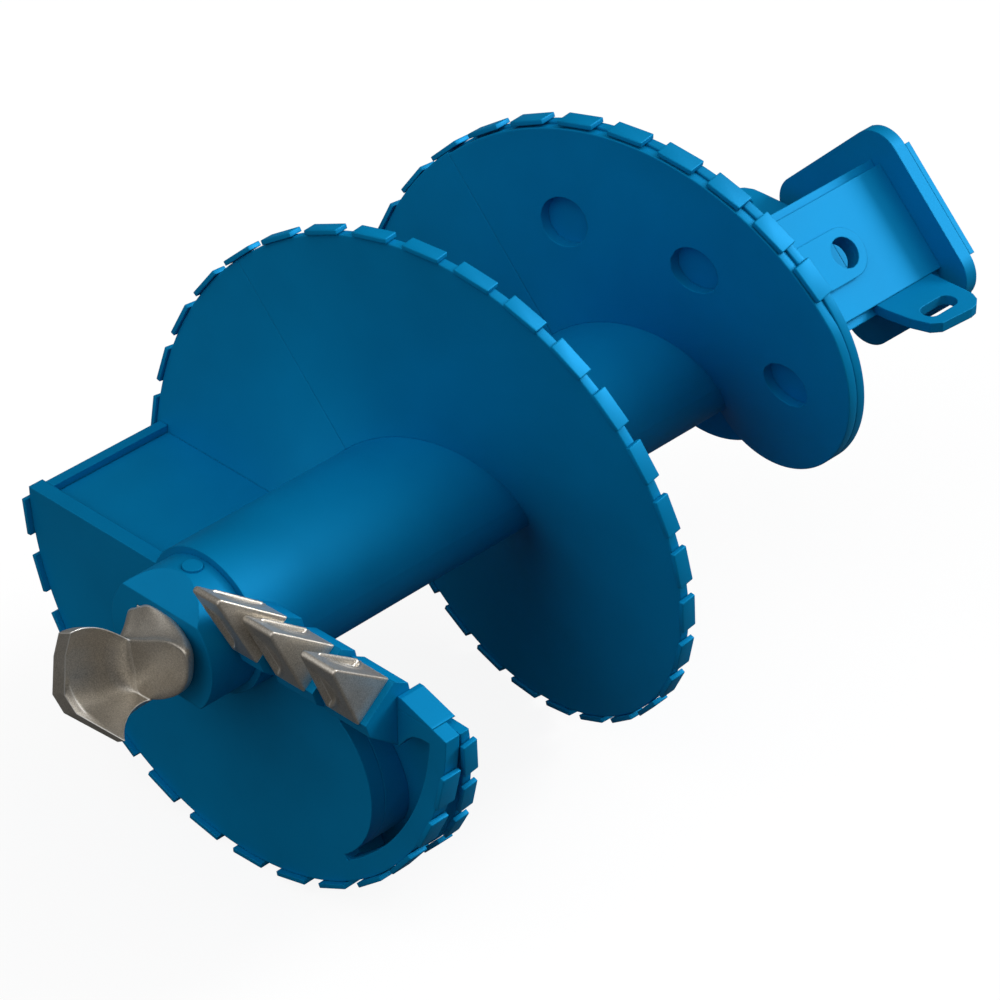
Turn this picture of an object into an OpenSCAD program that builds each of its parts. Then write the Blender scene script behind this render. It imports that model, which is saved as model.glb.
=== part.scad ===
// Rotary drilling auger with a square kelly box, one welded rigid assembly.
// The drilling axis lies along +Y: the pilot is at -Y, the kelly box at +Y.
// Modules work in a local frame whose +Z is the axis from pilot to kelly box,
// measured from the front face of the bottom plate. place() turns that to +Y.

/* [Stem] */
// Outside diameter of the stem tube
stem_diameter = 265; // [220:1:320]
// Wall of the stem tube
stem_wall = 25; // [16:1:40]
// How far the stem stands out in front of the bottom plate
stem_nose = 49; // [30:1:70]
// From the bottom plate's front face to the kelly base plate
stem_run = 1154; // [1100:1:1400]

/* [Flight] */
// Diameter over the flight plates
flight_diameter = 1000; // [900:1:1200]
// Rise of the flight in one turn
flight_pitch = 500; // [440:1:600]
// Thickness of one flight plate
flight_plate = 20; // [14:1:26]
// Level of the helix that the flight follows after its first half turn
flight_start = 41.5; // [38:0.5:60]
// Angle of the butt joint between lower and middle flight plates
lower_joint = 226; // [200:1:300]
// Angle that the upper flight covers up to its end
upper_sweep = 196; // [180:1:210]
// Gap between the end of the upper flight's front plate and the kelly base plate
flight_end_gap = 6.4; // [3:0.1:20]
// Gap between the end of its back plate and the kelly base plate
back_end_gap = 2; // [1:0.5:10]
// Radius of the round-off that ends the flight
runout_radius = 281; // [240:1:320]
// Angle from the round-off's centre to the flight's end
runout_sweep = 102; // [90:1:115]
// Diameter of the plug holes in the upper front plate
plug_hole_diameter = 92; // [70:1:110]
// Radius of the circle the plug holes lie on
plug_hole_radius = 322; // [280:1:360]
// Angle from the upper butt joint to the first plug hole
plug_hole_lead = 26; // [20:1:34]
// Angle between plug holes
plug_hole_step = 45.3; // [40:0.1:50]

/* [Bottom plate] */
// Thickness of the half round bottom plate
bottom_plate = 30; // [20:1:40]
// Width of the outer ring left beside the crescent opening
ring_width = 36; // [28:1:60]
// Radius of the inner curve of the crescent opening
gullet_radius = 170; // [140:1:190]
// Offset of that curve's centre along the leading edge
gullet_x = 157; // [140:1:170]
// Offset of that curve's centre below the leading edge
gullet_y = 235; // [220:1:250]
// Angle where the crescent opening ends
gullet_end = 55; // [48:1:60]
// Angle on its own circle where the gullet wall starts
gullet_wall_start = -24; // [-44:1:0]
// Angle on its own circle where the gullet wall ends
gullet_wall_end = 48; // [40:1:54]
// Outside radius of the gullet wall
gullet_wall_radius = 180; // [170:1:185]
// Inset of the crescent opening's end behind the leading edge
gullet_lip = 32; // [20:1:44]
// Distance out where the recess for the tooth holders starts
gullet_near = 258; // [240:1:280]
// Thickness of the rolled gullet wall
gullet_wall = 15; // [10:1:20]
// Height of the leading bar beside the outer tooth holder
bar_rise = 24; // [14:1:34]
// Flat top of the leading bar before it slopes down
bar_land = 9; // [4:1:20]
// Distance from the rim to the outer end of the leading edge bar
bar_inset = 29; // [10:1:50]
// Depth of the leading edge's trimmed corner at the rim
corner_trim = 10; // [4:1:14]
// Set back of the skirt band from the flight rim
skirt_setback = 9; // [4:1:14]
// Thickness of the skirt band
skirt_wall = 20; // [12:1:26]
// Angle where the skirt band starts
skirt_start = 62; // [57:1:90]
// Depth of the riser wall's face below the closing edge
riser_drop = 13; // [8:1:18]
// Thickness of the riser wall
riser_wall = 12; // [8:1:20]

/* [Wear blocks] */
// Length of a wear block along the rim
block_length = 70; // [50:1:80]
// Height of a wear block off the rim
block_height = 9; // [6:1:14]
// Width of a block on one flight plate
block_width = 30; // [24:1:36]
// Width of a block on the doubled upper flight
block_width_double = 39; // [36:1:46]
// Angle between wear blocks
block_step = 11.55; // [10.5:0.05:14]
// Angle between wear blocks of the bottom plate
bottom_block_step = 12.35; // [11:0.05:14]
// Width of a block on the bottom plate
bottom_block_width = 39; // [30:1:44]
// How far those blocks stand out in front of the bottom plate
bottom_block_proud = 10; // [4:1:14]
// Angle of the first block on the bottom plate
bottom_block_start = 12.7; // [8:0.1:16]
// Angle of the first block on the flight
flight_block_start = 7.4; // [5:0.1:10]

/* [Teeth] */
// Width of a tooth
tooth_width = 76; // [60:1:84]
// Thickness of a tooth at its base
tooth_base = 88; // [70:1:96]
// Length of a tooth from its holder
tooth_length = 131; // [100:1:150]
// Tilt of the teeth off the drilling axis
tooth_tilt = 51; // [40:1:60]
// Width of a tooth holder
holder_width = 92; // [82:1:100]
// Length of a tooth holder
holder_length = 106; // [90:1:120]

/* [Pilot] */
// Diameter of the pilot holder
pilot_holder_diameter = 240; // [200:1:250]
// Length of the pilot holder in front of the stem
pilot_holder_length = 99; // [80:1:130]
// Half height left between the two slanted flats at the front
pilot_flat_half = 80; // [70:1:100]
// Length of the slanted flats
pilot_flat_length = 51; // [40:1:80]
// Side of the pilot's square shank
pilot_shank = 110; // [80:1:130]
// Depth of the shank socket
pilot_socket_depth = 120; // [90:1:140]
// How far the pilot stands in front of its holder
pilot_reach = 155; // [130:1:200]
// Thickness of the pilot's lobe
pilot_lobe = 45; // [30:1:70]
// Nominal width of the pilot
pilot_width = 190; // [150:1:200]
// Diameter of the pilot's lock pin
lock_pin_diameter = 35; // [24:1:40]
// How far the lock pin's ends stand proud
lock_pin_proud = 3; // [1:0.5:6]
// Set back of the lock pin from the holder's front
lock_pin_back = 74; // [60:1:84]

/* [Kelly box] */
// Inside width of the kelly box
kelly_socket = 200; // [150:1:220]
// Thickness of the kelly box plates
kelly_wall = 25; // [16:1:30]
// Step left for the weld at each corner of the box
corner_step = 15; // [8:1:20]
// Length of the kelly box
kelly_length = 426; // [380:1:480]
// Diameter of the kelly pin bore
kelly_pin_diameter = 60; // [50:1:70]
// From the top of the base plate to the pin bore
kelly_pin_height = 235; // [200:1:260]
// Diameter of the base plate
base_diameter = 411; // [380:1:440]
// Thickness of the base plate
base_thickness = 30; // [20:1:40]
// Half width of the pin boss
boss_half_width = 49; // [40:1:60]
// Height of the pin boss off the box
boss_height = 10; // [6:1:14]
// Length of the pin boss below the pin bore
boss_tail = 110; // [80:1:140]
// Width of the top flange
flange_width = 356; // [330:1:380]
// Thickness of the top flange
flange_thickness = 28; // [20:1:36]
// Corner radius of the top flange
flange_corner = 61; // [40:1:80]
// Height of the four contact bars on the flange
bar_height = 12; // [6:1:16]
// Width of the contact bars
bar_width = 34; // [24:1:40]

/* [Lifting lugs] */
// Thickness of a lifting lug
lug_thickness = 20; // [14:1:26]
// Reach of a lifting lug from the axis
lug_reach = 295; // [280:1:320]
// Length of a lifting lug along the box
lug_length = 152; // [130:1:170]
// Gap between the lugs and the flange
lug_flange_gap = 28; // [10:1:60]
// Length of the slot in a lug
lug_slot_length = 84; // [60:1:100]
// Width of the slot in a lug
lug_slot_width = 38; // [24:1:50]

/* [Fits] */
// Clearance between welded pieces
weld_gap = 0.3; // [0.2:0.1:0.8]
// Clearance round the pilot's shank
shank_gap = 0.5; // [0.3:0.1:1.5]

/* [Hidden] */

stem_r = stem_diameter / 2;
flight_r = flight_diameter / 2;
bar_reach = flight_r - bar_inset;
step_angle = 4;
facet_relief = 1 / cos(step_angle / 2);
root_r = (stem_r + weld_gap) * facet_relief;
flight_end = 360 * (stem_run - flight_plate - flight_end_gap - flight_start) / flight_pitch;
back_plate_end = 360 * (stem_run - 2 * flight_plate - back_end_gap - flight_start) / flight_pitch;
upper_joint = flight_end - upper_sweep;
runout_angle = flight_end - runout_sweep;
plug_hole_start = upper_joint + plug_hole_lead;
lead_level = bottom_plate + weld_gap;
pilot_front = -stem_nose - weld_gap - pilot_holder_length;
lock_pin_level = pilot_front + lock_pin_back;
pin_level = stem_run + base_thickness + kelly_pin_height;
box_half = kelly_socket / 2 + kelly_wall;
box_start = stem_run + base_thickness + weld_gap;
box_end = box_start + kelly_length;
// Row of the three teeth: distance out, level, rise and inward turn of each.
tooth_row = [[156, -75, 68, 15], [237, -54, 45, 8], [340, -38.5, 27.5, 0]];
row_walls = [100, 193, 292, 391];
gullet_far = row_walls[3];
blue = [0, 0.42, 0.68];
steel = [0.36, 0.34, 0.31];

// Turns the local frame to the part's frame, with the pin bore's centre as origin.
module place() {
    rotate([-90, 0, 0])
        translate([0, 0, -pin_level])
            children();
}

// Level of the flight's front face at an angle. It starts on the bottom plate's back.
function flight_level(angle) = angle < 180
    ? lead_level + (flight_start + flight_pitch / 2 - lead_level) * angle / 180
    : flight_start + flight_pitch * angle / 360;

// Distance from the axis to the round-off circle along an angle.
function runout_reach(angle) =
    let (c = flight_r - runout_radius, a = angle - runout_angle)
    c * cos(a) + sqrt(max(0, runout_radius * runout_radius - c * c * sin(a) * sin(a)));

// Rim radius of the flight along its length.
function rim_at(angle, rim) =
    angle <= runout_angle ? rim : max(root_r + 0.5, min(rim, runout_reach(angle)));

// A point from radius, angle and level.
function polar(r, angle, level) = [r * cos(angle), r * sin(angle), level];

// Closed solid through a row of four-cornered stations.
module loft(stations) {
    n = len(stations);
    points = [for (s = stations) for (p = s) p];
    sides = [for (i = [0 : n - 2]) for (k = [0 : 3])
        let (a = 4 * i + k, b = 4 * i + (k + 1) % 4, c = a + 4, d = b + 4)
        each [[a, c, b], [b, c, d]]];
    last = 4 * (n - 1);
    ends = [[0, 1, 2], [0, 2, 3], [last + 2, last + 1, last], [last + 3, last + 2, last]];
    polyhedron(points = points, faces = concat(ends, sides), convexity = 8);
}

// Helical plate between two angles, set behind the front face by back.
module helical_plate(from, to, thick, rim, back) {
    count = ceil((to - from) / step_angle);
    span = (to - from) / count;
    loft([for (i = [0 : count])
        let (a = from + i * span, r = rim_at(a, rim), h = flight_level(a) + back)
        [polar(root_r, a, h), polar(r, a, h), polar(r, a, h + thick),
            polar(root_r, a, h + thick)]]);
}

// One block on the rim, turned to the helix by lead.
module wear_block(angle, level, width, rim, lead) {
    rotate([0, 0, angle])
        translate([rim + weld_gap, 0, level])
            rotate([lead, 0, 0])
                translate([0, -block_length / 2, -width / 2])
                    cube([block_height, block_length, width]);
}

// Slope of the rim at an angle.
function lead_at(angle) =
    atan((flight_level(angle + 0.5) - flight_level(angle - 0.5)) * 360 / (PI * flight_diameter));

// A row of blocks on the flight between two angles.
module flight_blocks(from, to, width, middle) {
    for (a = [from : block_step : to])
        wear_block(a, flight_level(a) + middle, width, flight_r, lead_at(a));
}

module stem_tube() {
    color(blue) place()
        translate([0, 0, -stem_nose])
            difference() {
                cylinder(r = stem_r, h = stem_run + stem_nose - weld_gap, $fn = 96);
                translate([0, 0, -1])
                    cylinder(r = stem_r - stem_wall, h = stem_run + stem_nose + 2, $fn = 96);
            }
}

module pilot_holder() {
    flat_slope = atan((pilot_holder_diameter / 2 - pilot_flat_half) / pilot_flat_length);
    front = pilot_front;
    plug_r = stem_r - stem_wall - weld_gap;
    color(blue) place()
        difference() {
            union() {
                translate([0, 0, front])
                    cylinder(d = pilot_holder_diameter, h = pilot_holder_length, $fn = 96);
                translate([0, 0, front + pilot_holder_length - 1])
                    cylinder(r = plug_r, h = pilot_socket_depth - pilot_holder_length + 21,
                        $fn = 96);
            }
            translate([0, 0, front - 1])
                translate([-pilot_shank / 2 - shank_gap, -pilot_shank / 2 - shank_gap, 0])
                    cube([pilot_shank + 2 * shank_gap, pilot_shank + 2 * shank_gap,
                        pilot_socket_depth + 1]);
            for (side = [0, 180])
                rotate([0, 0, side])
                    translate([0, -pilot_flat_half, front])
                        rotate([flat_slope, 0, 0])
                            translate([-200, -100, -50])
                                cube([400, 100, 200]);
            translate([0, 0, lock_pin_level])
                rotate([90, 0, 0])
                    cylinder(d = lock_pin_diameter + 2 * weld_gap, h = 400, center = true,
                        $fn = 48);
        }
}

// Closed solid through rings that all have the same even number of corners, each listed
// anticlockwise, from the lowest level up. Each end is a strip of four-cornered faces.
module skin(rings) {
    n = len(rings[0]);
    last = n * (len(rings) - 1);
    sides = [for (i = [0 : len(rings) - 2]) for (k = [0 : n - 1])
        let (a = n * i + k, b = n * i + (k + 1) % n, c = a + n, d = b + n)
        each [[a, c, b], [b, c, d]]];
    polyhedron(points = [for (r = rings) for (p = r) p],
        faces = concat([for (k = [0 : n / 2 - 2]) [k, k + 1, n - 2 - k, n - 1 - k]], sides,
            [for (k = [0 : n / 2 - 2])
                [last + n - 1 - k, last + n - 2 - k, last + k + 1, last + k]]), convexity = 10);
}

// Ring between two outlines at part t of the way, with their sizes and level.
function between(low, high, t, size, level) =
    [for (k = [0 : len(low) - 1])
        [size * (low[k][0] + (high[k][0] - low[k][0]) * t),
            size * (low[k][1] + (high[k][1] - low[k][1]) * t), level]];

module pilot_bit() {
    half = pilot_width / 2;
    base = pilot_front - weld_gap;
    lobe = base - pilot_lobe;
    tip = base - pilot_reach;
    // Outlines as parts of the half width, seen from the front with +Y down.
    foot = [[-0.76, 0.6], [-0.7, -0.4], [-0.3, -0.71], [0.15, -0.72], [0.6, -0.56],
        [0.74, -0.3], [0.74, 0.2], [0.6, 0.5], [0.25, 0.74], [-0.4, 0.78]];
    face = [[-0.8, 0.5], [-0.8, -0.2], [-0.48, -0.36], [0.28, -0.52], [1.01, -0.62],
        [1.15, -0.48], [1.15, -0.18], [0.88, 0.34], [0.28, 0.73], [-0.3, 0.96]];
    root = [[-0.44, -0.36], [-0.34, 0.2], [-0.2, 0.6], [-0.1, 0.95], [-0.3, 1.0],
        [-0.66, 0.78], [-0.8, 0.3], [-0.68, -0.3]];
    edge = [[-0.5, -0.86], [-0.6, 0.42], [-0.4, 0.6], [0.7, 0.63], [0.65, 0.81],
        [-0.6, 0.81], [-0.88, 0.54], [-0.73, -0.8]];
    color(steel) place()
        difference() {
            union() {
                translate([-pilot_shank / 2, -pilot_shank / 2, base - 1])
                    cube([pilot_shank, pilot_shank, pilot_socket_depth - 1]);
                skin([for (t = [1 : -0.25 : 0])
                    between(foot, face, t, half, base - pilot_lobe * t)]);
                skin([for (t = [1, 0.85, 0.65, 0.45, 0.25, 0])
                    between(root, edge, t * t * (1.6 - 0.6 * t), half,
                        lobe + 8 + (tip - lobe - 8) * t)]);
            }
            translate([0, 0, lock_pin_level])
                rotate([90, 0, 0])
                    cylinder(d = lock_pin_diameter + 2 * weld_gap, h = 400, center = true,
                        $fn = 48);
        }
}

module pilot_lock_pin() {
    length = pilot_holder_diameter + 2 * lock_pin_proud;
    color(blue) place()
        translate([0, 0, lock_pin_level])
            rotate([90, 0, 0])
                cylinder(d = lock_pin_diameter, h = length, center = true, $fn = 48);
}

// Outline of the crescent opening and the recess for the tooth holders.
module gullet_outline() {
    difference() {
        intersection() {
            circle(r = flight_r - ring_width, $fn = 96);
            polygon([[gullet_near, gullet_lip / 2], [gullet_far, gullet_lip / 2],
                [gullet_far, gullet_lip + 44], [gullet_far + 21, gullet_lip + 17],
                [gullet_far + 36, gullet_lip + 5], [gullet_far + 54, gullet_lip],
                [flight_r, gullet_lip], [flight_r * 1.2, flight_r * 0.6],
                [flight_r * cos(gullet_end), flight_r * sin(gullet_end)],
                [(flight_r - ring_width) * 0.9 * cos(gullet_end),
                    (flight_r - ring_width) * 0.9 * sin(gullet_end)],
                [gullet_near, 330]]);
        }
        translate([gullet_x, gullet_y])
            circle(r = gullet_radius, $fn = 96);
    }
}

module bottom_plate() {
    color(blue) place()
        difference() {
            cylinder(r = flight_r, h = bottom_plate, $fn = 120);
            translate([-flight_r - 1, -flight_diameter, -1])
                cube([flight_diameter + 2, flight_diameter, bottom_plate + 2]);
            translate([0, 0, -1])
                cylinder(r = stem_r + weld_gap, h = bottom_plate + 2, $fn = 96);
            translate([0, 0, -1])
                linear_extrude(height = bottom_plate + 2)
                    gullet_outline();
            translate([0, 0, -1])
                linear_extrude(height = bottom_plate + 2)
                    polygon([[bar_reach, -1], [flight_r + 1, -1], [flight_r + 1, corner_trim],
                        [flight_r, corner_trim], [bar_reach, 0]]);
            for (i = [0 : 2])
                row_holder(i, weld_gap);
        }
}

module riser_wall() {
    base = bottom_plate + weld_gap;
    near = riser_drop;
    far = riser_drop + riser_wall;
    first = root_r + 1;
    last = flight_r - skirt_setback - skirt_wall - 2.5;
    color(blue) place()
        loft([for (i = [0 : 6])
            let (x = first + (last - first) * i / 6,
                t1 = flight_level(180 - atan(near / x)) - weld_gap * 2,
                t2 = flight_level(180 - atan(far / x)) - weld_gap * 2)
            [[-x, near, base], [-x, far, base], [-x, far, t2], [-x, near, t1]]]);
}

module skirt_band() {
    base = bottom_plate + weld_gap;
    outer = flight_r - skirt_setback;
    inner = outer - skirt_wall;
    count = 24;
    color(blue) place()
        loft([for (i = [0 : count])
            let (a = skirt_start + (180 - skirt_start) * i / count,
                top = flight_level(a) - weld_gap * 2)
            [polar(inner, a, base), polar(outer, a, base), polar(outer, a, top),
                polar(inner, a, top)]]);
}

module gullet_wall() {
    base = bottom_plate + weld_gap;
    inner = gullet_wall_radius - gullet_wall;
    count = 18;
    color(blue) place()
        loft([for (i = [0 : count])
            let (a = gullet_wall_start + (gullet_wall_end - gullet_wall_start) * i / count,
                p = [gullet_x + inner * cos(a), gullet_y + inner * sin(a)],
                q = [gullet_x + gullet_wall_radius * cos(a),
                    gullet_y + gullet_wall_radius * sin(a)],
                tp = flight_level(atan2(p[1], p[0])) - weld_gap * 2,
                tq = flight_level(atan2(q[1], q[0])) - weld_gap * 2)
            [[p[0], p[1], base], [q[0], q[1], base], [q[0], q[1], tq], [p[0], p[1], tp]]]);
}

module leading_bar() {
    near = row_walls[3] + weld_gap;
    color(blue) place()
        linear_extrude(height = lead_level + flight_plate)
            polygon([[near, -weld_gap], [near, -bar_rise], [near + bar_land, -bar_rise],
                [bar_reach, -weld_gap]]);
}

module flight_lower() {
    color(blue) place()
        difference() {
            helical_plate(asin(corner_trim / flight_r), lower_joint, flight_plate, flight_r, 0);
            for (i = [0 : 2])
                row_holder(i, weld_gap);
        }
}

module flight_middle() {
    color(blue) place()
        helical_plate(lower_joint + 0.05, upper_joint, flight_plate, flight_r, 0);
}

module flight_upper_front() {
    color(blue) place()
        difference() {
            helical_plate(upper_joint + 0.05, flight_end, flight_plate, flight_r - 4, 0);
            plug_holes(plug_hole_diameter);
        }
}

module flight_upper_back() {
    color(blue) place()
        helical_plate(upper_joint - 20, back_plate_end, flight_plate - weld_gap, flight_r,
            flight_plate + weld_gap);
}

// The three plug holes through the front plate of the upper flight.
module plug_holes(size) {
    for (i = [0 : 2])
        let (a = plug_hole_start + i * plug_hole_step)
        translate(polar(plug_hole_radius, a, flight_level(a) + flight_plate / 2))
            cylinder(d = size, h = flight_plate + 46, center = true, $fn = 48);
}

module bottom_wear_blocks() {
    color(blue) place()
        for (a = [bottom_block_start : bottom_block_step : 176])
            wear_block(a, bottom_block_width / 2 - bottom_block_proud, bottom_block_width,
                flight_r, 0);
}

module lower_wear_blocks() {
    color(blue) place()
        flight_blocks(flight_block_start, lower_joint - 3, block_width, flight_plate / 2);
}

module middle_wear_blocks() {
    first = flight_block_start
        + block_step * (floor((lower_joint - 3 - flight_block_start) / block_step) + 1);
    color(blue) place()
        flight_blocks(first, upper_joint - 22, block_width, flight_plate / 2);
}

module upper_wear_blocks() {
    first = flight_block_start
        + block_step * (floor((upper_joint - 22 - flight_block_start) / block_step) + 1);
    color(blue) place()
        flight_blocks(first, runout_angle, block_width_double, flight_plate);
}

// Puts a child on the leading edge; its own +Z points along the tooth.
module on_edge(i) {
    t = tooth_row[i];
    translate([t[0], -t[2], t[1]])
        rotate([180 - tooth_tilt, 0, 0])
            rotate([0, -t[3], 0])
                children();
}

module tooth_shape() {
    rotate([90, 0, 90])
        translate([0, 0, -tooth_width / 2])
            linear_extrude(height = tooth_width)
                polygon([[-tooth_base / 2, 0], [tooth_base / 2, 0], [3, tooth_length],
                    [-3, tooth_length]]);
}

// Holder of one tooth, grown by g for the notch it sits in.
module row_holder(i, g) {
    intersection() {
        on_edge(i)
            rotate([90, 0, 90])
                translate([0, 0, -holder_width])
                    linear_extrude(height = 2 * holder_width)
                        polygon([[-40 - g, g - weld_gap], [44 + g, g - weld_gap],
                            [56 + g, -32], [20 + g, -holder_length - g],
                            [-32 - g, -holder_length - g], [-50 - g, -26]]);
        translate([row_walls[i] + weld_gap / 2 - g, -400, -400])
            cube([row_walls[i + 1] - row_walls[i] - weld_gap + 2 * g, 800, 800]);
    }
}

module tooth_holder_outer() {
    color(blue) place()
        row_holder(2, 0);
}

module tooth_holder_middle() {
    color(blue) place()
        row_holder(1, 0);
}

module tooth_holder_inner() {
    color(blue) place()
        difference() {
            row_holder(0, 0);
            translate([0, 0, -stem_nose - 250])
                cylinder(r = stem_r + weld_gap, h = 500, $fn = 96);
        }
}

module tooth_outer() {
    color(steel) place()
        on_edge(2)
            tooth_shape();
}

module tooth_middle() {
    color(steel) place()
        on_edge(1)
            tooth_shape();
}

module tooth_inner() {
    color(steel) place()
        on_edge(0)
            tooth_shape();
}

module kelly_base_plate() {
    color(blue) place()
        translate([0, 0, stem_run])
            cylinder(d = base_diameter, h = base_thickness, $fn = 96);
}

// Turns the kelly box on its corner, as it sits behind the flight.
module kelly_frame() {
    place()
        rotate([0, 0, -45])
            children();
}

// One mitred side plate of the box, on the +X side of the kelly frame.
module side_plate() {
    inner = kelly_socket / 2;
    land = box_half - corner_step;
    translate([0, 0, box_start])
        linear_extrude(height = kelly_length)
            polygon([[inner, -inner + weld_gap], [land, -land + weld_gap],
                [box_half, -land + weld_gap], [box_half, land - weld_gap],
                [land, land - weld_gap], [inner, inner - weld_gap]]);
}

// A side plate with the pin bore through it.
module bored_plate() {
    difference() {
        side_plate();
        translate([0, 0, pin_level])
            rotate([0, 90, 0])
                cylinder(d = kelly_pin_diameter, h = 400, $fn = 48);
    }
}

module kelly_plate_pin_near() {
    color(blue) kelly_frame()
        bored_plate();
}

module kelly_plate_pin_far() {
    color(blue) kelly_frame()
        rotate([0, 0, 180])
            bored_plate();
}

module kelly_plate_side_near() {
    color(blue) kelly_frame()
        rotate([0, 0, 90])
            side_plate();
}

module kelly_plate_side_far() {
    color(blue) kelly_frame()
        rotate([0, 0, 270])
            side_plate();
}

// Pin boss with a round top end, on the +X side of the kelly frame.
module boss_shape() {
    difference() {
        translate([box_half + weld_gap, 0, pin_level])
            rotate([90, 0, 90])
                linear_extrude(height = boss_height)
                    union() {
                        circle(r = boss_half_width, $fn = 64);
                        translate([-boss_half_width, -boss_tail])
                            square([2 * boss_half_width, boss_tail]);
                    }
        translate([0, 0, pin_level])
            rotate([0, 90, 0])
                cylinder(d = kelly_pin_diameter, h = 400, $fn = 48);
    }
}

module pin_boss_near() {
    color(blue) kelly_frame()
        boss_shape();
}

module pin_boss_far() {
    color(blue) kelly_frame()
        rotate([0, 0, 180])
            boss_shape();
}

// Square with rounded corners.
module rounded_square(width, corner) {
    offset_w = width / 2 - corner;
    union() {
        square([width, 2 * offset_w], center = true);
        square([2 * offset_w, width], center = true);
        for (sx = [-1, 1])
            for (sy = [-1, 1])
                translate([sx * offset_w, sy * offset_w])
                    circle(r = corner, $fn = 64);
    }
}

module kelly_flange() {
    color(blue) kelly_frame()
        translate([0, 0, box_end + weld_gap])
            linear_extrude(height = flange_thickness)
                difference() {
                    rounded_square(flange_width, flange_corner);
                    square(kelly_socket, center = true);
                }
}

module flange_bars() {
    run = flange_width - 2 * flange_corner;
    color(blue) kelly_frame()
        for (side = [0 : 90 : 270])
            rotate([0, 0, side])
                translate([flange_width / 2 - bar_width, -run / 2,
                    box_end + 2 * weld_gap + flange_thickness])
                    cube([bar_width, run, bar_height]);
}

// Lifting lug on the +X corner of the box.
module lug_shape() {
    top = box_end - lug_flange_gap;
    low = top - lug_length;
    land = box_half - corner_step;
    root = land * sqrt(2);
    slot_x = lug_reach - 48;
    slot_half = (lug_slot_length - lug_slot_width) / 2;
    difference() {
        rotate([-90, 0, 0])
            translate([0, 0, -lug_thickness / 2])
                linear_extrude(height = lug_thickness)
                    polygon([[root, -low], [188, -low], [238, -low - 7], [275, -low - 20],
                        [289, -low - 38], [lug_reach, -low - 112],
                        [lug_reach - 3, -low - 128], [lug_reach - 14, -low - 143],
                        [lug_reach - 30, -low - 151], [lug_reach - 52, -top],
                        [root, -top]]);
        translate([slot_x, 0, (top + low) / 2])
            rotate([90, 0, 0])
                union() {
                    translate([-lug_slot_width / 2, -slot_half, -50])
                        cube([lug_slot_width, 2 * slot_half, 100]);
                    for (end = [-1, 1])
                        translate([0, end * slot_half, -50])
                            cylinder(d = lug_slot_width, h = 100, $fn = 48);
                }
        for (side = [0, 1])
            rotate([0, 0, -45])
                translate([-400, -400, low - 10])
                    cube([side == 0 ? 400 + land + weld_gap : 800,
                        side == 0 ? 800 : 400 + land + weld_gap, lug_length + 20]);
    }
}

module lifting_lug_right() {
    color(blue) place()
        lug_shape();
}

module lifting_lug_left() {
    color(blue) place()
        rotate([0, 0, 180])
            lug_shape();
}

stem_tube();
pilot_holder();
pilot_bit();
pilot_lock_pin();
bottom_plate();
riser_wall();
skirt_band();
gullet_wall();
leading_bar();
flight_lower();
flight_middle();
flight_upper_front();
flight_upper_back();
bottom_wear_blocks();
lower_wear_blocks();
middle_wear_blocks();
upper_wear_blocks();
tooth_holder_inner();
tooth_holder_middle();
tooth_holder_outer();
tooth_inner();
tooth_middle();
tooth_outer();
kelly_base_plate();
kelly_plate_pin_near();
kelly_plate_pin_far();
kelly_plate_side_near();
kelly_plate_side_far();
pin_boss_near();
pin_boss_far();
kelly_flange();
flange_bars();
lifting_lug_right();
lifting_lug_left();
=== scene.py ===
"""A rotary drilling auger, dressed and lit for the studio.

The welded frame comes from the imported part. Sizes below are in millimetres, in the
maker's own frame: x across, y down, and level from the bottom plate's front face
towards the kelly box. metres() turns that frame to the part's.
"""
import math

import bmesh
import bpy
import numpy as np
from mathutils import Matrix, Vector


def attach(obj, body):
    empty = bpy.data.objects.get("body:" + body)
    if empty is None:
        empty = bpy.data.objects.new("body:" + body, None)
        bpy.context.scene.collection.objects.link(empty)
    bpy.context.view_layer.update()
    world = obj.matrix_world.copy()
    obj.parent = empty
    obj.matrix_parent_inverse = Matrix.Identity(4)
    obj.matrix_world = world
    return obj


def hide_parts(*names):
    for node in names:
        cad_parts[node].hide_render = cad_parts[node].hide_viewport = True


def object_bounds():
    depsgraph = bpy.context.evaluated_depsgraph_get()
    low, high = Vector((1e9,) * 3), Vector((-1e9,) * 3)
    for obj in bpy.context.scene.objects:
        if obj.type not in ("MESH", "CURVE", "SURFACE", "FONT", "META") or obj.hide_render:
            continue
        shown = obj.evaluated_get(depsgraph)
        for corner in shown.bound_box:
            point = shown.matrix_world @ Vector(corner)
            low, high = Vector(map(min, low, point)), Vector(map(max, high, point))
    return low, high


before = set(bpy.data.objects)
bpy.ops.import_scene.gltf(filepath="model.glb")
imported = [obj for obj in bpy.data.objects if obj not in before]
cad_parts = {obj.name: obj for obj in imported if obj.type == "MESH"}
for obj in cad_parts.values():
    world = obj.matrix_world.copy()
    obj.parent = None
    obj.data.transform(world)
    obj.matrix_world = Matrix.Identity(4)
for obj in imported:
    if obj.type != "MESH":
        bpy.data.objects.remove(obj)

cad_box = [[float(v) for v in corner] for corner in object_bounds()]

# level of the kelly pin bore, the part's origin
PIN_LEVEL = 1419.0


# ---------------------------------------------------------------- finishes

def linear(code):
    """sRGB hex to linear RGBA."""
    parts = [int(code[k:k + 2], 16) / 255 for k in (1, 3, 5)]
    return tuple(c / 12.92 if c <= 0.04045 else ((c + 0.055) / 1.055) ** 2.4 for c in parts) + (1.0,)


def add(tree, kind, links=None, **settings):
    """One node with its settings. links maps an input's name or number to an output socket."""
    node = tree.nodes.new(kind)
    for key, value in settings.items():
        if hasattr(node, key):
            setattr(node, key, value)
        else:
            node.inputs[key.replace("_", " ")].default_value = value
    for key, socket in (links or {}).items():
        tree.links.new(socket, node.inputs[key])
    return node


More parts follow.
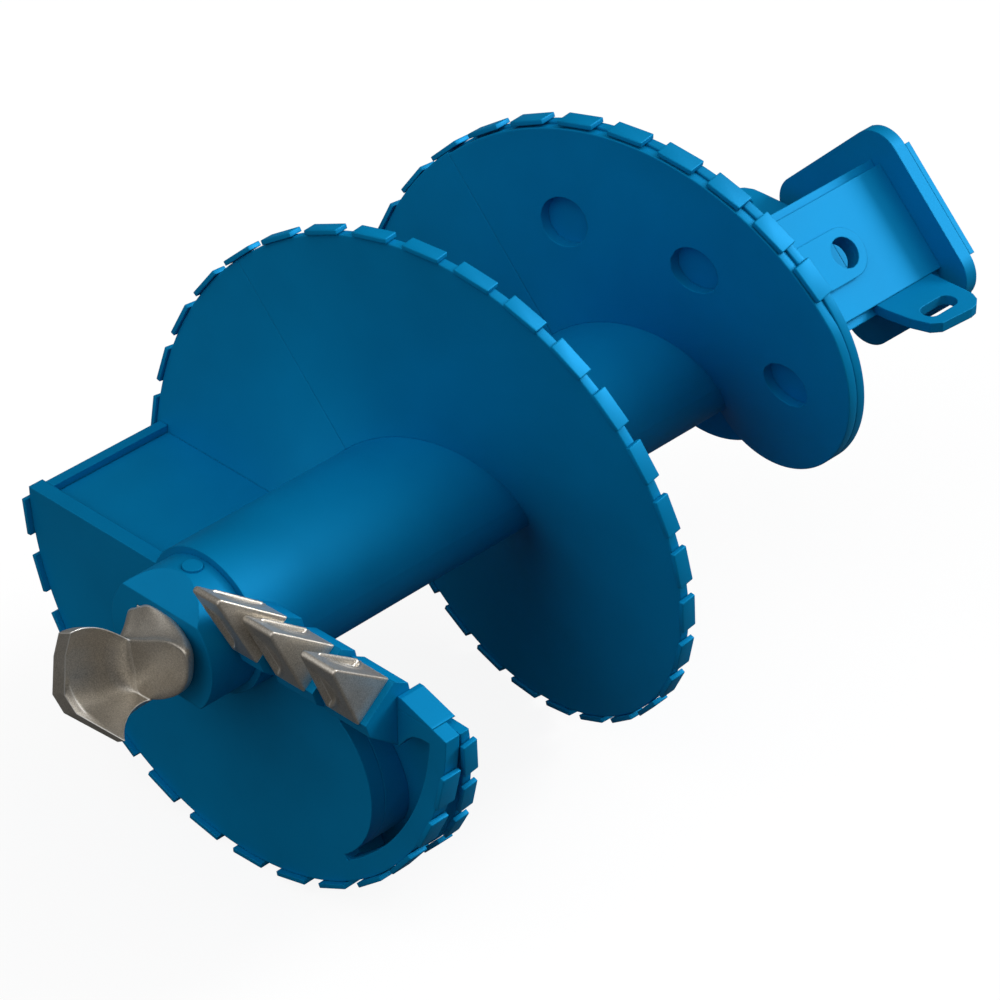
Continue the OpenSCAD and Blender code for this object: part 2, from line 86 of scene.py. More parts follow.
def new_material(name):
    """An empty node material and its tree."""
    material = bpy.data.materials.new(name)
    material.use_nodes = True
    material.node_tree.nodes.clear()
    return material, material.node_tree


def blue_enamel():
    """Alkyd machinery enamel sprayed over rolled and welded plate: an even azure coat,
    half gloss, with the faint orange peel and thickness shading of a gun-laid film."""
    material, tree = new_material("azure_machinery_enamel")
    place = add(tree, "ShaderNodeTexCoord").outputs["Object"]
    # film thickness drifts over about 250 mm, as passes of the gun overlap
    drift = add(tree, "ShaderNodeTexNoise", {"Vector": place}, Scale=4.0, Detail=3.0, Roughness=0.55)
    # orange peel is 1 to 2 mm; drawn at 7 mm so that it shows
    peel = add(tree, "ShaderNodeTexNoise", {"Vector": place}, Scale=140.0, Detail=2.0, Roughness=0.5)
    tone = add(tree, "ShaderNodeValToRGB", {"Fac": drift.outputs["Fac"]})
    tone.color_ramp.elements[0].position = 0.3
    tone.color_ramp.elements[0].color = linear("#007BAF")
    tone.color_ramp.elements[1].position = 0.72
    tone.color_ramp.elements[1].color = linear("#0084BB")
    gloss = add(tree, "ShaderNodeMapRange", {"Value": drift.outputs["Fac"]})
    gloss.inputs["To Min"].default_value = 0.46
    gloss.inputs["To Max"].default_value = 0.54
    rounded = add(tree, "ShaderNodeBevel", samples=6, Radius=0.003)
    bump = add(tree, "ShaderNodeBump", {"Height": peel.outputs["Fac"], "Normal": rounded.outputs["Normal"]},
               Strength=0.06, Distance=0.0008)
    shader = add(tree, "ShaderNodeBsdfPrincipled",
                 {"Base Color": tone.outputs["Color"], "Roughness": gloss.outputs["Result"],
                  "Normal": bump.outputs["Normal"]})
    shader.inputs["Metallic"].default_value = 0.3
    shader.inputs["IOR"].default_value = 1.5
    shader.inputs["Specular IOR Level"].default_value = 0.06
    add(tree, "ShaderNodeOutputMaterial", {"Surface": shader.outputs["BSDF"]})
    return material


def forged_steel():
    """Forged alloy steel, shot blasted and oiled: warm grey, a fine grain from the shot,
    and a painted highlight that lightens its edges where their rounds would catch the light."""
    material, tree = new_material("shot_blasted_forged_steel")
    place = add(tree, "ShaderNodeTexCoord").outputs["Object"]
    grain = add(tree, "ShaderNodeTexNoise", {"Vector": place}, Scale=420.0, Detail=3.0, Roughness=0.7)
    cloud = add(tree, "ShaderNodeTexNoise", {"Vector": place}, Scale=18.0, Detail=4.0, Roughness=0.6)
    tone = add(tree, "ShaderNodeValToRGB", {"Fac": grain.outputs["Fac"]})
    tone.color_ramp.elements[0].position = 0.32
    tone.color_ramp.elements[0].color = linear("#ABA69E")
    tone.color_ramp.elements[1].position = 0.68
    tone.color_ramp.elements[1].color = linear("#E2DDD4")
    shade = add(tree, "ShaderNodeMix", {"Factor": cloud.outputs["Fac"], 6: tone.outputs["Color"]},
                data_type="RGBA", blend_type="MULTIPLY")
    shade.inputs[7].default_value = linear("#D8D2C8")
    rounded = add(tree, "ShaderNodeBevel", samples=8, Radius=0.004)
    bump = add(tree, "ShaderNodeBump", {"Height": grain.outputs["Fac"], "Normal": rounded.outputs["Normal"]},
               Strength=0.25, Distance=0.0006)
    # painted highlight: where the rounded normal leaves the face's own normal, the steel is painted lighter,
    # as if the edge caught the light
    flat = add(tree, "ShaderNodeNewGeometry").outputs["Normal"]
    agree = add(tree, "ShaderNodeVectorMath", {0: rounded.outputs["Normal"], 1: flat}, operation="DOT_PRODUCT")
    edge_highlight_mask = add(tree, "ShaderNodeMapRange", {"Value": agree.outputs["Value"]})
    edge_highlight_mask.inputs["From Min"].default_value = 0.995
    edge_highlight_mask.inputs["From Max"].default_value = 0.9
    painted_edge_highlight = add(tree, "ShaderNodeMix", {"Factor": edge_highlight_mask.outputs["Result"], 6: shade.outputs[2]},
               data_type="RGBA")
    # near-white of the painted edge highlight
    painted_edge_highlight.inputs[7].default_value = linear("#F3F1EC")
    shader = add(tree, "ShaderNodeBsdfPrincipled",
                 {"Base Color": painted_edge_highlight.outputs[2], "Normal": bump.outputs["Normal"]})
    shader.inputs["Metallic"].default_value = 0.72
    shader.inputs["Roughness"].default_value = 0.36
    add(tree, "ShaderNodeOutputMaterial", {"Surface": shader.outputs["BSDF"]})
    return material


ENAMEL = blue_enamel()
STEEL = forged_steel()

STEEL_NODES = ("pilot_bit", "tooth_inner", "tooth_middle", "tooth_outer")
for name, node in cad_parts.items():
    finish = STEEL if name in STEEL_NODES else ENAMEL
    if not node.material_slots:
        node.data.materials.append(finish)
    for place in node.material_slots:
        place.material = finish


# ---------------------------------------------------------------- shapes

ROOT_R = 132.3       # the flight's root, let 0.2 into the stem
RIM_R = 500.0        # the flight's rim
PITCH = 500.0        # rise in one turn
PLATE = 20.0         # one flight plate
LEAD_LEVEL = 30.3    # the flight's front face at the leading edge, on the bottom plate's back
HELIX_LEVEL = 41.5   # level of the helix it follows after half a turn
RUNOUT_R = 281.0     # round-off that ends the flight
RUNOUT_AT = 680.0    # angle where the round-off leaves the rim


def metres(points):
    """The maker's frame in mm to the part's frame in m: y down becomes -Z, level becomes +Y."""
    p = np.asarray(points, float)
    return np.stack([p[..., 0], p[..., 2] - PIN_LEVEL, -p[..., 1]], -1) / 1000


def level_at(angle):
    """Level of the flight's front face: a straight rise, a little steeper over the first half turn."""
    a = np.asarray(angle, float)
    first = LEAD_LEVEL + (HELIX_LEVEL + PITCH / 2 - LEAD_LEVEL) * a / 180
    return np.where(a < 180, first, HELIX_LEVEL + PITCH * a / 360)


def rim_at(angle, rim):
    """Rim radius: constant, then the round-off, a circle through the rim whose centre lies inside."""
    a = np.radians(np.asarray(angle, float) - RUNOUT_AT)
    c = RIM_R - RUNOUT_R
    reach = c * np.cos(a) + np.sqrt(np.maximum(0, RUNOUT_R ** 2 - (c * np.sin(a)) ** 2))
    return np.where(a <= 0, rim, np.maximum(ROOT_R + 0.5, np.minimum(rim, reach)))


def polar(r, angle, level):
    """Radius, angle and level to the maker's frame."""
    a = np.radians(angle)
    return np.stack(np.broadcast_arrays(r * np.cos(a), r * np.sin(a), level), -1)


def quads(n, m, ring=True):
    """Faces of an n by m grid of points, whose rows close on themselves when ring is true."""
    i = np.arange(n - 1)[:, None]
    j = np.arange(m if ring else m - 1)[None, :]
    a, b = i * m + j, i * m + (j + 1) % m
    return np.stack([a, b, b + m, a + m], -1).reshape(-1, 4)


def shell(rings):
    """Closed solid through rings (n, m, 3), with a flat cap on its first and last ring."""
    n, m = rings.shape[:2]
    faces = quads(n, m).tolist()
    faces += [list(range(m))[::-1], list(range((n - 1) * m, n * m))]
    return rings.reshape(-1, 3), faces


def build(name, parts, finish, replaced=(), sharp=38.0):
    """Joins closed shells into one piece, turns its faces outwards, smooths all but sharp edges."""
    points, faces, start = [], [], 0
    for p, f in parts:
        points.append(metres(p))
        faces += [[k + start for k in face] for face in f]
        start += len(p)
    mesh = bpy.data.meshes.new(name)
    mesh.from_pydata(np.concatenate(points).tolist(), [], faces)
    work = bmesh.new()
    work.from_mesh(mesh)
    bmesh.ops.remove_doubles(work, verts=work.verts, dist=2e-6)
    bmesh.ops.recalc_face_normals(work, faces=work.faces)
    work.to_mesh(mesh)
    work.free()
    mesh.shade_smooth()
    mesh.set_sharp_from_angle(angle=math.radians(sharp))
    mesh.materials.append(finish)
    obj = bpy.data.objects.new(name, mesh)
    bpy.context.scene.collection.objects.link(obj)
    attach(obj, "root")
    if replaced:
        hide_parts(*replaced)
    return obj


def arc(cx, cy, r, start, end, count):
    """Points on a circle between two angles in degrees."""
    a = np.radians(np.linspace(start, end, count))
    return np.stack([cx + r * np.cos(a), cy + r * np.sin(a)], -1)


# ---------------------------------------------------------------- flight

EDGE = 1.8           # round on the rim's corners
STEP = 1.5           # degrees from one section to the next
LOWER_START = 1.15   # angles of the plates' ends
LOWER_JOINT = 226.05
UPPER_JOINT = 586.05
BACK_START = 566.0
FLIGHT_END = 782.0
FRONT_RIM = RIM_R - 4
SEAM = 0.3           # gap between plates that lie on one another


def flight_angles(start, end):
    """Evenly spaced angles of a plate's sections."""
    return np.linspace(start, end, int(round((end - start) / STEP)) + 1)


def flight_shell(start, end, back, thick):
    """A flight plate: at each angle a section with straight faces from root to rim, whose two
    rim corners are quarter rounds, swept along the helix."""
    edge = EDGE
    angle = flight_angles(start, end)[:, None]
    reach = rim_at(angle, RIM_R)
    along = np.concatenate([np.linspace(0, 0.96, 9), [1.0]])
    front = arc(-edge, edge, edge, -90, 0, 4)
    rear = arc(-edge, thick - edge, edge, 0, 90, 4)
    corner = np.concatenate([front, rear])
    inner = ROOT_R + (reach - 2 * edge - ROOT_R) * along[None, :]
    r = np.concatenate([inner, reach + corner[None, :, 0], inner[:, ::-1]], 1)
    h = np.concatenate([np.zeros(len(along)), corner[:, 1], np.full(len(along), thick)])
    return shell(polar(r, angle, level_at(angle) + back + h[None, :]))


HOLE_AT = [612.0 + 45.3 * k for k in range(3)]
HOLE_R = 46.0
HOLE_CIRCLE = 322.0
CELL = 12.0          # half the sector round one hole


def drilled_plate(start, end, thick, rim):
    """The flight plate with three round plug holes. The plate's faces are helicoid patches; round
    each hole a patch runs from the circle out to the edges of its sector, in rings."""
    parts = []
    edge = EDGE
    tops = np.array([0.0, thick])
    cuts = [start]
    for a in HOLE_AT:
        cuts += [a - CELL, a + CELL]
    cuts.append(end)

    side = np.linspace(0, 1, 11)

    def outer(angle):
        return rim_at(angle, rim) - 2 * edge

    for k in range(0, len(cuts), 2):
        angle = flight_angles(cuts[k], cuts[k + 1])[:, None]
        for h in tops:
            r = ROOT_R + (outer(angle) - ROOT_R) * side[None, :]
            grid = polar(r, angle, level_at(angle) + h)
            f = quads(grid.shape[0], grid.shape[1], ring=False)
            parts.append((grid.reshape(-1, 3), (f if h else f[:, ::-1]).tolist()))
    for centre in HOLE_AT:
        angle = flight_angles(centre - CELL, centre + CELL)
        a = np.concatenate([angle, np.full(9, angle[-1]), angle[::-1], np.full(9, angle[0])])
        t = np.concatenate([np.zeros(len(angle)), side[1:-1], np.ones(len(angle)), side[1:-1][::-1]])
        r = ROOT_R + (outer(a) - ROOT_R) * t
        border = np.stack([r * np.cos(np.radians(a)), r * np.sin(np.radians(a))], -1)
        middle = HOLE_CIRCLE * np.array([math.cos(math.radians(centre)), math.sin(math.radians(centre))])
        way = border - middle
        way = way / np.linalg.norm(way, axis=1, keepdims=True)
        steps = np.array([0, 0.012, 0.08, 0.2, 0.36, 0.55, 0.77, 1.0])[:, None, None]
        flat = (middle + HOLE_R * way)[None] * (1 - steps) + border[None] * steps
        turn = np.degrees(np.arctan2(flat[..., 1], flat[..., 0]))
        turn = turn + 360 * np.round((centre - turn) / 360)
        for h in tops:
            grid = np.concatenate([flat, (level_at(turn) + h)[..., None]], -1)
            f = quads(grid.shape[0], grid.shape[1])
            parts.append((grid.reshape(-1, 3), (f[:, ::-1] if h else f).tolist()))
        wall = np.stack([np.concatenate([flat[0], (level_at(turn[0]) + h)[:, None]], -1)
                         for h in tops])
        parts.append((wall.reshape(-1, 3), quads(2, wall.shape[1])[:, ::-1].tolist()))
    angle = np.unique(np.round(np.concatenate(
        [flight_angles(cuts[k], cuts[k + 1]) for k in range(len(cuts) - 1)]), 6))[:, None]
    corner = np.concatenate([[[-2 * edge, 0]], arc(-edge, edge, edge, -90, 0, 4),
                             arc(-edge, thick - edge, edge, 0, 90, 4), [[-2 * edge, thick]]])
    strip = polar(rim_at(angle, rim) + corner[None, :, 0], angle, level_at(angle) + corner[None, :, 1])
    parts.append((strip.reshape(-1, 3), quads(strip.shape[0], strip.shape[1], ring=False).tolist()))
    root = polar(np.full((1, 2), ROOT_R), angle, level_at(angle) + tops[None, :])
    parts.append((root.reshape(-1, 3), quads(root.shape[0], 2, ring=False)[:, ::-1].tolist()))
    for a, flip in ((start, False), (end, True)):
        r = ROOT_R + (outer(np.array(a)) - ROOT_R) * side
        low = polar(r, a, level_at(a))
        tip = strip[0 if not flip else -1]
        high = polar(r, a, level_at(a) + thick)
        loop = np.concatenate([low, tip[1:-1], high[::-1]])
        f = [list(range(len(loop)))]
        parts.append((loop, f if flip else [f[0][::-1]]))
    return parts


build("lower_flight_plate", [flight_shell(LOWER_START, LOWER_JOINT, 0, PLATE)],
      ENAMEL, ("flight_lower",))
build("middle_flight_plate", [flight_shell(LOWER_JOINT, UPPER_JOINT - 0.05, 0, PLATE)],
      ENAMEL, ("flight_middle",))
build("upper_flight_front_plate", drilled_plate(UPPER_JOINT, FLIGHT_END, PLATE, FRONT_RIM),
      ENAMEL, ("flight_upper_front",))
build("upper_flight_back_plate", [flight_shell(BACK_START, FLIGHT_END, PLATE + SEAM, PLATE - SEAM)],
      ENAMEL, ("flight_upper_back",))


# ---------------------------------------------------------------- wear blocks

BLOCK_HEIGHT = 9.0
BLOCK_LENGTH = 70.0
BLOCK_ROUND = 1.3
ONE_PLATE = 30.0     # block width on a single plate
TWO_PLATES = 39.0    # block width on a doubled plate and on the bottom plate
ROW_START = 7.4      # angle of the first block on the flight, and the step to the next
ROW_STEP = 11.55
LOWER_ROW_END = 223
MIDDLE_ROW_END = 564
BOTTOM_ROW_START = 12.7
BOTTOM_ROW_STEP = 12.35
BOTTOM_ROW_END = 176
BOTTOM_ROW_LEVEL = 9.5


def lead_at(angle):
    """Slope of the rim in degrees, from the flight's rise over one degree."""
    rise = level_at(np.asarray(angle) + 0.5) - level_at(np.asarray(angle) - 0.5)
    return np.degrees(np.arctan(rise * 360 / (2 * math.pi * RIM_R)))


def rounded_section(half_a, half_b, r, count=3):
    """Outline of a rounded rectangle, anticlockwise, with quarter circles at its corners."""
    return np.concatenate([arc(half_a - r, half_b - r, r, 0, 90, count),
                           arc(-half_a + r, half_b - r, r, 90, 180, count),
                           arc(-half_a + r, -half_b + r, r, 180, 270, count),
                           arc(half_a - r, -half_b + r, r, 270, 360, count)])


def block_row(angles, level, width, lead):
    """Wear blocks: rounded rectangles swept outwards, whose outer edge is a quarter round, each
    turned to the rim's slope, then round the axis. All blocks are one array."""
    height, length, r = BLOCK_HEIGHT, BLOCK_LENGTH, BLOCK_ROUND
    rows = [(SEAM, 0.0), (height - r, 0.0), (height - 0.55 * r, 0.1 * r), (height - 0.2 * r, 0.45 * r),
            (height, r)]
    base = rounded_section(length / 2, width / 2, r)
    rings = np.stack([np.stack([np.full(len(base), x), base[:, 0] * (1 - d / (length / 2)),
                                base[:, 1] * (1 - d / (width / 2))], -1) for x, d in rows])
    tilt, turn = np.radians(lead), np.radians(angles)
    x = rings[None, ..., 0] + RIM_R + SEAM
    y = rings[None, ..., 1] * np.cos(tilt)[:, None, None] - rings[None, ..., 2] * np.sin(tilt)[:, None, None]
    z = rings[None, ..., 1] * np.sin(tilt)[:, None, None] + rings[None, ..., 2] * np.cos(tilt)[:, None, None]
    c, q = np.cos(turn)[:, None, None], np.sin(turn)[:, None, None]
    placed = np.stack([x * c - y * q, x * q + y * c, z + np.asarray(level)[:, None, None]], -1)
    return [shell(block) for block in placed]


def flight_row(first, last, width, middle):
    """A row on the flight's rim between two angles, centred the given way behind its front face."""
    angles = np.arange(first, last + 1e-6, ROW_STEP)
    return block_row(angles, level_at(angles) + middle, width, lead_at(angles))


def next_after(limit):
    """Angle of the first block past a limit, in step with the rows before it."""
    return ROW_START + ROW_STEP * (math.floor((limit - ROW_START) / ROW_STEP) + 1)


bottom_at = np.arange(BOTTOM_ROW_START, BOTTOM_ROW_END + 0.001, BOTTOM_ROW_STEP)
build("bottom_block_row",
      block_row(bottom_at, np.full(len(bottom_at), BOTTOM_ROW_LEVEL), TWO_PLATES, np.zeros(len(bottom_at))),
      ENAMEL, ("bottom_wear_blocks",))
build("lower_block_row", flight_row(ROW_START, LOWER_ROW_END, ONE_PLATE, PLATE / 2),
      ENAMEL, ("lower_wear_blocks",))
build("middle_block_row", flight_row(next_after(LOWER_ROW_END), MIDDLE_ROW_END, ONE_PLATE, PLATE / 2),
      ENAMEL, ("middle_wear_blocks",))
build("upper_block_row", flight_row(next_after(MIDDLE_ROW_END), RUNOUT_AT, TWO_PLATES, PLATE),
      ENAMEL, ("upper_wear_blocks",))


# ---------------------------------------------------------------- gullet

GULLET_X, GULLET_Y = 157, 235   # centre of the crescent opening's inner curve
GULLET_R = 170.5
GULLET_WALL = 12.5


def gullet_shell():
    """Wall of the gullet: a cylinder round the plate's inner curve, from the plate's back up to
    the underside of the flight, whose level rises with the bearing."""
    turn = np.radians(np.linspace(-50, 54, 80))[:, None]
    inner = GULLET_R - GULLET_WALL
    r = np.array([inner, GULLET_R, GULLET_R, inner])[None, :]
    x, y = GULLET_X + r * np.cos(turn), GULLET_Y + r * np.sin(turn)
    top = level_at(np.degrees(np.arctan2(y, x))) - SEAM
    level = np.where(np.array([False, False, True, True])[None, :], top, LEAD_LEVEL)
    return shell(np.stack([x, y, level], -1))


build("gullet_wall_plate", [gullet_shell()], ENAMEL, ("gullet_wall",))


# ---------------------------------------------------------------- teeth

# out along the leading edge, level, rise above it, yaw in degrees
TOOTH_ROW = {"tooth_inner": (156, -75, 68, 15), "tooth_middle": (237, -54, 45, 8),
             "tooth_outer": (340, -38.5, 27.5, 0)}
TOOTH_TILT = 51.0
TOP_POCKET = (9.0, 2.8)      # depth of the pocket and height of its lip, on the upper face
UNDER_POCKET = (8.0, 1.6)    # the same on the lower face


def smooth(x):
    """Smooth step from 0 to 1."""
    t = np.clip(x, 0, 1)
    return t * t * (3 - 2 * t)


def pocket(x, z, length, half, floor, ridge):
    """Depth of a D-shaped pocket in a tooth's face: straight beside the -x edge, bulging towards
    the middle, with a raised round lip along its border."""
    along = (length - z) / length
    across = (x + half) / (2 * half)
    bulge = np.sin(math.pi * np.clip((along - 0.2) / 0.77, 0, 1) ** 0.75) ** 0.8
    near = (across - 0.13) * 2 * half
    far = (0.13 + 0.53 * bulge - across) * 2 * half
    inside = np.minimum(near, far * 0.8)
    body = floor * smooth(inside / 5.0)
    lip = ridge * np.exp(-((inside + 2.0) / 2.5) ** 2)
    lip = lip * smooth((along - 0.2) / 0.05) * smooth((0.985 - along) / 0.03)
    return body - lip


def tooth_rings():
    """Tooth: a wedge whose section is a rounded rectangle, from the base to a narrow land at the
    tip with a round edge. Its two broad faces carry the pocket."""
    half, length, base, tip, r = 38.0, 131.0, 44.0, 5.0, 3.4
    z = np.concatenate([np.linspace(0, length - r, 84),
                        length - r + r * np.sin(np.radians([22, 45, 66, 90]))])
    inset = np.where(z > length - r, r - np.sqrt(np.maximum(0, r * r - (z - length + r) ** 2)), 0)
    tall = base + (tip - base) * z / length - inset
    wide = half - inset
    soft = np.minimum(r, tall * 0.92)
    flat = np.linspace(-1, 1, 51)
    quarter = np.radians(np.array([18, 36, 54, 72]))
    ends = np.array([0.9, 0.3, -0.3, -0.9])
    rings = []
    for side in (1, -1):
        x = side * -flat[None, :] * (wide - soft)[:, None]
        y = side * tall[:, None] * np.ones_like(flat)[None, :]
        sunk = TOP_POCKET if side > 0 else UNDER_POCKET
        dip = pocket(x, z[:, None] * np.ones_like(x), length, half, *sunk)
        dip = dip * np.where(z < length - 2 * r, 1, 0)[:, None]
        rings.append(np.stack([x, y - side * dip], -1))
        cx, cy = side * -(wide - soft)[:, None], side * (tall - soft)[:, None]
        sine, cosine = side * soft[:, None] * np.sin(quarter), side * soft[:, None] * np.cos(quarter)
        rings.append(np.stack([cx - sine, cy + cosine], -1))
        rings.append(np.stack([-side * wide[:, None] * np.ones(4), side * (tall - soft)[:, None] * ends], -1))
        rings.append(np.stack([cx - cosine, -cy - sine], -1))
    ring = np.concatenate(rings, 1)
    return np.concatenate([ring, np.repeat(z[:, None], ring.shape[1], 1)[..., None]], -1)


def on_edge(p, place):
    """Places a tooth: yaw about its own y, tilt about x, then out along the leading edge."""
    out, level, rise, yaw = place
    a, b = math.radians(-yaw), math.radians(180 - TOOTH_TILT)
    x = p[..., 0] * math.cos(a) + p[..., 2] * math.sin(a)
    z = -p[..., 0] * math.sin(a) + p[..., 2] * math.cos(a)
    y, z = p[..., 1] * math.cos(b) - z * math.sin(b), p[..., 1] * math.sin(b) + z * math.cos(b)
    return np.stack([x + out, y - rise, z + level], -1)


for node, place in TOOTH_ROW.items():
    build(node + "_forged", [shell(on_edge(tooth_rings(), place))],
          STEEL, (node,), sharp=50)


# ---------------------------------------------------------------- pilot

PILOT_BASE = -148.6   # on the holder's front face
PILOT_LOBE = -193.6   # front face of the lobe
PILOT_TIP = -303.6    # the scoop's cutting edge
SHANK_HALF = 55
SHANK_END = -30.0


def spline(a, b, c, d, t):
    """Catmull-Rom curve from b to c."""
    return 0.5 * (2 * b + (c - a) * t + (2 * a - 5 * b + 4 * c - d) * t ** 2
                  + (3 * b - a - 3 * c + d) * t ** 3)


def resample(points, count, curved):
    """Points along a polyline at even steps of its own index, straight or as a spline through
    its corners."""
    p = np.asarray(points, float)
    u = np.linspace(0, len(p) - 1, count)
    i = np.minimum(u.astype(int), len(p) - 2)
    t = (u - i)[:, None]
    b, c = p[i], p[i + 1]
    if not curved:
        return b + (c - b) * t
    a = np.where((i > 0)[:, None], p[np.maximum(i - 1, 0)], 2 * b - c)
    d = np.where((i < len(p) - 2)[:, None], p[np.minimum(i + 2, len(p) - 1)], 2 * c - b)
    return spline(a, b, c, d, t)


def closed_curve(points, count):
    """Spline through corners that closes on itself."""
    p = np.asarray(points, float)
    n = len(p)
    u = np.arange(count) * n / count
    i = u.astype(int)
    t = (u - i)[:, None]
    return spline(p[(i - 1) % n], p[i], p[(i + 1) % n], p[(i + 2) % n], t)


def pilot_wing():
    """Scoop: an L-shaped section, round inside, whose front edge alone has corners.
    Going back, its upper end falls like a quarter sine and its lower end like a power curve;
    near the lobe the inner side flares out as a quarter round. The front land is bevelled by
    setting its corners at different depths. Its caps are strips of quads, as it isn't convex."""
    n = 65
    start = PILOT_LOBE + 8
    deep = 38.0
    u = np.linspace(0, 1, n)
    tip_in = resample([(-35, 91, -1.5), (-50, 38, -3.5), (-53.5, -39, -8), (-27, -62, -8),
                       (84, -61, -2)], n, False)
    tip_soft = resample([(-35, 91), (-49, 42), (-49, -16), (-14, -52), (84, -61)], n, True)
    tip_out = resample([(-67, 74, 0), (-83, 20, -1), (-88, -57, -5), (-68, -87, 0),
                        (58, -80, 4)], n, False)
    root_in = resample([(-40, 14), (-50, -14), (-50, -48), (-34, -76), (10, -76)], n, True)
    root_out = resample([(-66, 4), (-82, -12), (-84, -46), (-64, -92), (0, -95)], n, True)
    reach = 1.0 - 0.75 * np.abs(u - 0.45) ** 1.2 * 2
    rows = []
    levels = np.concatenate([start - np.linspace(0, 48, 22), np.linspace(PILOT_LOBE - 44, PILOT_TIP, 30)])
    for level in levels:
        t = (start - level) / (start - PILOT_TIP)
        e = ((1 - u) * math.sin(math.pi * t / 2) + u * t ** 2.2)[:, None]
        d = np.clip(PILOT_LOBE - level, 0, deep)
        flare = (deep - math.sqrt(deep ** 2 - (deep - d) ** 2)) * reach[:, None] * np.array([0.95, 0.1])
        front = tip_soft + (tip_in[:, :2] - tip_soft) * float(smooth((t - 0.93) / 0.07))
        inner = root_in + (front - root_in) * e + flare
        outer = root_out + (tip_out[:, :2] - root_out) * e
        ring = np.concatenate([inner, outer[::-1]])
        lift = np.concatenate([tip_in[:, 2], tip_out[::-1, 2]]) * t ** 3
        rows.append(np.column_stack([ring[:, 0], -ring[:, 1], level + lift]))
    rings = np.stack(rows)
    count, m = rings.shape[:2]
    k = np.arange(n - 1)
    cap = np.stack([k, k + 1, m - 2 - k, m - 1 - k], -1)
    faces = np.concatenate([quads(count, m), cap[:, ::-1], cap + (count - 1) * m])
    return rings.reshape(-1, 3), faces.tolist()


def pilot_lobe():
    """Lobe: closed splines blended from the foot at the holder to the front outline like a
    quarter sine, with a round edge into the flat front face."""
    foot = closed_curve([(-79, 30), (-54, 51), (-31, 67), (-8, 71), (23, 70), (45, 65), (64, 52), (74, 36),
                         (76, 13), (73, -20), (61, -48), (40, -66), (0, -74), (-40, -72), (-72, -50),
                         (-84, -10)], 128)
    front = closed_curve([(-62, 6), (-36, 19), (-3, 34), (38, 55), (70, 68), (95, 71), (109, 65), (113, 49),
                          (111, 18), (103, -4), (86, -29), (55, -54), (22, -73), (-15, -88), (-55, -84),
                          (-78, -40)], 128)
    rows = []
    back = PILOT_BASE - PILOT_LOBE - 3.0
    for t, inset, level in ([(t, 0.0, PILOT_BASE - back * t) for t in np.linspace(0, 1, 16)]
                            + [(1, 0.4, PILOT_LOBE + 1.6), (1, 1.2, PILOT_LOBE + 0.6), (1, 3.0, PILOT_LOBE),
                               (1, 9.0, PILOT_LOBE), (1, 26.0, PILOT_LOBE)]):
        ring = foot + (front - foot) * math.sin(math.pi * t / 2)
        centre = ring.mean(0)
        way = ring - centre
        far = np.linalg.norm(way, axis=1, keepdims=True)
        ring = centre + way * (1 - inset / far)
        rows.append(np.column_stack([ring[:, 0], -ring[:, 1], np.full(len(ring), level)]))
    return shell(np.stack(rows))


def pilot_shank():
    """Square shank with rounded upright edges, from the lobe's foot into the holder."""
    base = rounded_section(SHANK_HALF, SHANK_HALF, 2.0)
    ends = (PILOT_BASE - 1, SHANK_END)
    return shell(np.stack([np.column_stack([base, np.full(len(base), level)]) for level in ends]))


build("pilot_bit_forged", [pilot_wing(), pilot_lobe(), pilot_shank()],
      STEEL, ("pilot_bit",), sharp=42)


# ---------------------------------------------------------------- studio

def seen_rays(tree):
    """1 for rays from the camera, also through clear pieces, and 0 for the rest."""
    path = add(tree, "ShaderNodeLightPath")
    return add(tree, "ShaderNodeMath",
               {0: path.outputs["Is Camera Ray"], 1: path.outputs["Is Transmission Ray"]},
               operation="ADD", use_clamp=True)


def sheet_floor(level):
    """A pale floor under the object, a wide flat grid."""
    u = np.linspace(-30, 30, 13)
    x, y = np.meshgrid(u, u)
    points = np.stack([x, y, np.full_like(x, level)], -1).reshape(-1, 3)
    faces = quads(len(u), len(u), ring=False)
    mesh = bpy.data.meshes.new("studio_floor")
    mesh.from_pydata(points.tolist(), [], faces.tolist())
    obj = bpy.data.objects.new("studio_floor", mesh)
    bpy.context.scene.collection.objects.link(obj)
    # white with a faint shadow where it is seen, dark to the light that it would throw back
    material, tree = new_material("matt_white_floor")
    seen = seen_rays(tree)
    paper = add(tree, "ShaderNodeBsdfDiffuse")
    paper.inputs["Color"].default_value = (0.08, 0.08, 0.08, 1)
    bright = add(tree, "ShaderNodeBsdfDiffuse")
    bright.inputs["Color"].default_value = (1, 1, 1, 1)
    glow = add(tree, "ShaderNodeEmission")
    glow.inputs["Strength"].default_value = 1.0
    pale = add(tree, "ShaderNodeMixShader", {1: bright.outputs[0], 2: glow.outputs[0]})
    pale.inputs[0].default_value = 0.9
    mix = add(tree, "ShaderNodeMixShader", {0: seen.outputs[0], 1: paper.outputs[0], 2: pale.outputs[0]})
    add(tree, "ShaderNodeOutputMaterial", {"Surface": mix.outputs[0]})
    mesh.materials.append(material)


sheet_floor(cad_box[0][2])


def unit(v):
    """A vector of length 1."""
    v = np.array(v, float)
    return v / np.linalg.norm(v)


def stand(obj, toward_back, position=(0.0, 0.0, 0.0)):
    """Places a lamp or a camera so that it looks away from toward_back and stays level."""
    back = unit(toward_back)
    right = unit(np.cross([0, 0, 1], back))
    up = np.cross(back, right)
    turned = Matrix.Identity(4)
    for row in range(3):
        turned[row][:] = right[row], up[row], back[row], position[row]
    obj.matrix_world = turned


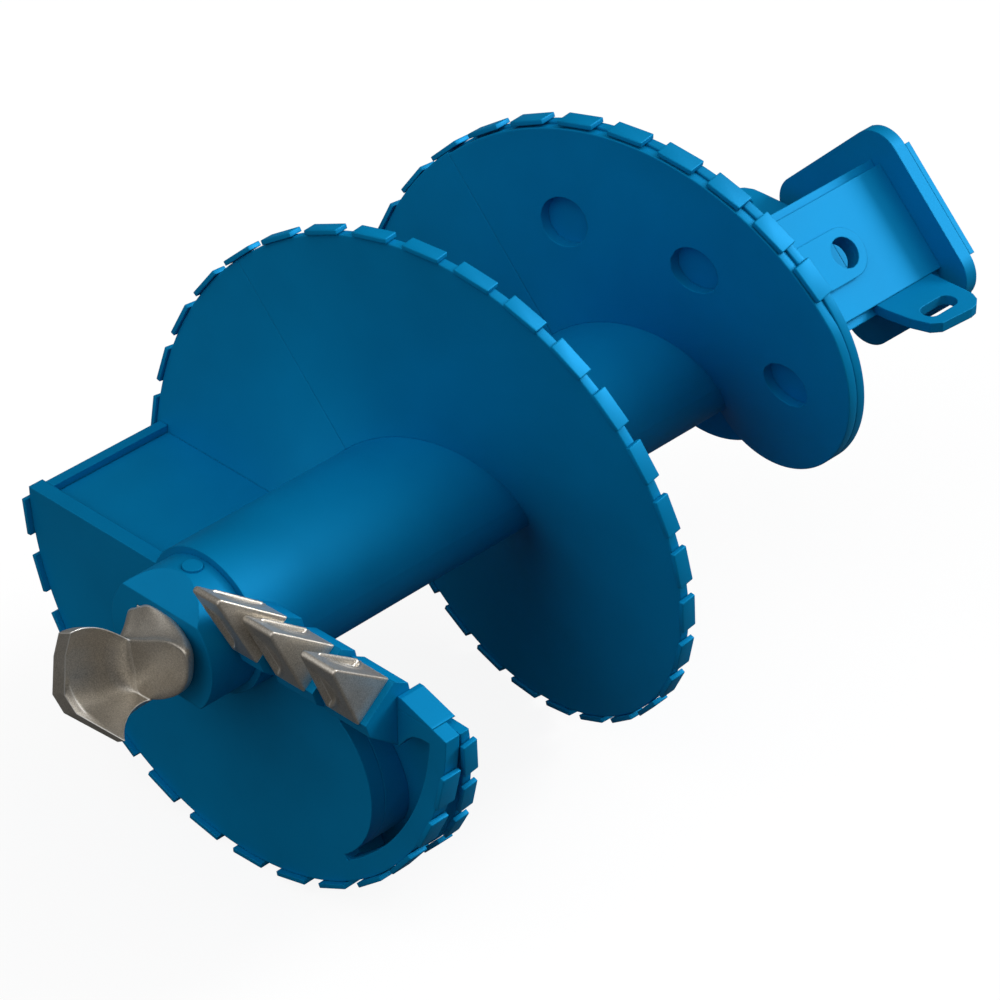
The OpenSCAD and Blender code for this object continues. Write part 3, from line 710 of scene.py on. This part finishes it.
def lamp(name, direction, strength, angle):
    """A distant soft lamp that shines from a direction."""
    data = bpy.data.lights.new(name, "SUN")
    data.energy = strength
    data.angle = math.radians(angle)
    obj = bpy.data.objects.new(name, data)
    bpy.context.scene.collection.objects.link(obj)
    stand(obj, direction)


lamp("rear_key_softbox", (0.33, 0.82, 0.46), 2.0, 22)

# direction and strength of three broad softboxes: behind and above the right shoulder, in front,
# and above the left
SOFTBOXES = (((0.45, 0.60, 0.66), 1.95), ((0.10, -0.66, 0.74), 1.7), ((-0.60, -0.45, 0.66), 0.5))
SOFTBOX_FALL = 5.0   # power of the cosine by which each one fades

world = bpy.data.worlds.new("studio_light")
bpy.context.scene.world = world
world.use_nodes = True
tree = world.node_tree
tree.nodes.clear()
seen = seen_rays(tree)
white = add(tree, "ShaderNodeBackground")
white.inputs["Color"].default_value = (1, 1, 1, 1)
white.inputs["Strength"].default_value = 1.0
toward = add(tree, "ShaderNodeNewGeometry").outputs["Incoming"]
total = None
for aim, strength in SOFTBOXES:
    facing = add(tree, "ShaderNodeVectorMath", {0: toward}, operation="DOT_PRODUCT")
    facing.inputs[1].default_value = tuple(-unit(aim))
    lit = add(tree, "ShaderNodeMath", {0: facing.outputs["Value"]}, operation="MAXIMUM")
    lit.inputs[1].default_value = 0.0
    fall = add(tree, "ShaderNodeMath", {0: lit.outputs[0]}, operation="POWER")
    fall.inputs[1].default_value = SOFTBOX_FALL
    box = add(tree, "ShaderNodeBackground", {"Color": fall.outputs[0]})
    box.inputs["Strength"].default_value = strength
    if total is None:
        total = box.outputs[0]
    else:
        total = add(tree, "ShaderNodeAddShader", {0: total, 1: box.outputs[0]}).outputs[0]
both = add(tree, "ShaderNodeMixShader", {0: seen.outputs[0], 1: total, 2: white.outputs[0]})
add(tree, "ShaderNodeOutputWorld", {"Surface": both.outputs[0]})

camera = bpy.data.cameras.new("camera")
camera.lens = 162.4
camera.sensor_width = 36
camera.shift_x = -0.0189
camera.shift_y = -0.0588
camera.clip_end = 200
eye = bpy.data.objects.new("camera", camera)
bpy.context.scene.collection.objects.link(eye)
stand(eye, (0.57880, -0.59487, 0.55778), (4.4944, -5.3602, 4.3312))
bpy.context.scene.camera = eye
bpy.context.scene.view_settings.view_transform = "Standard"
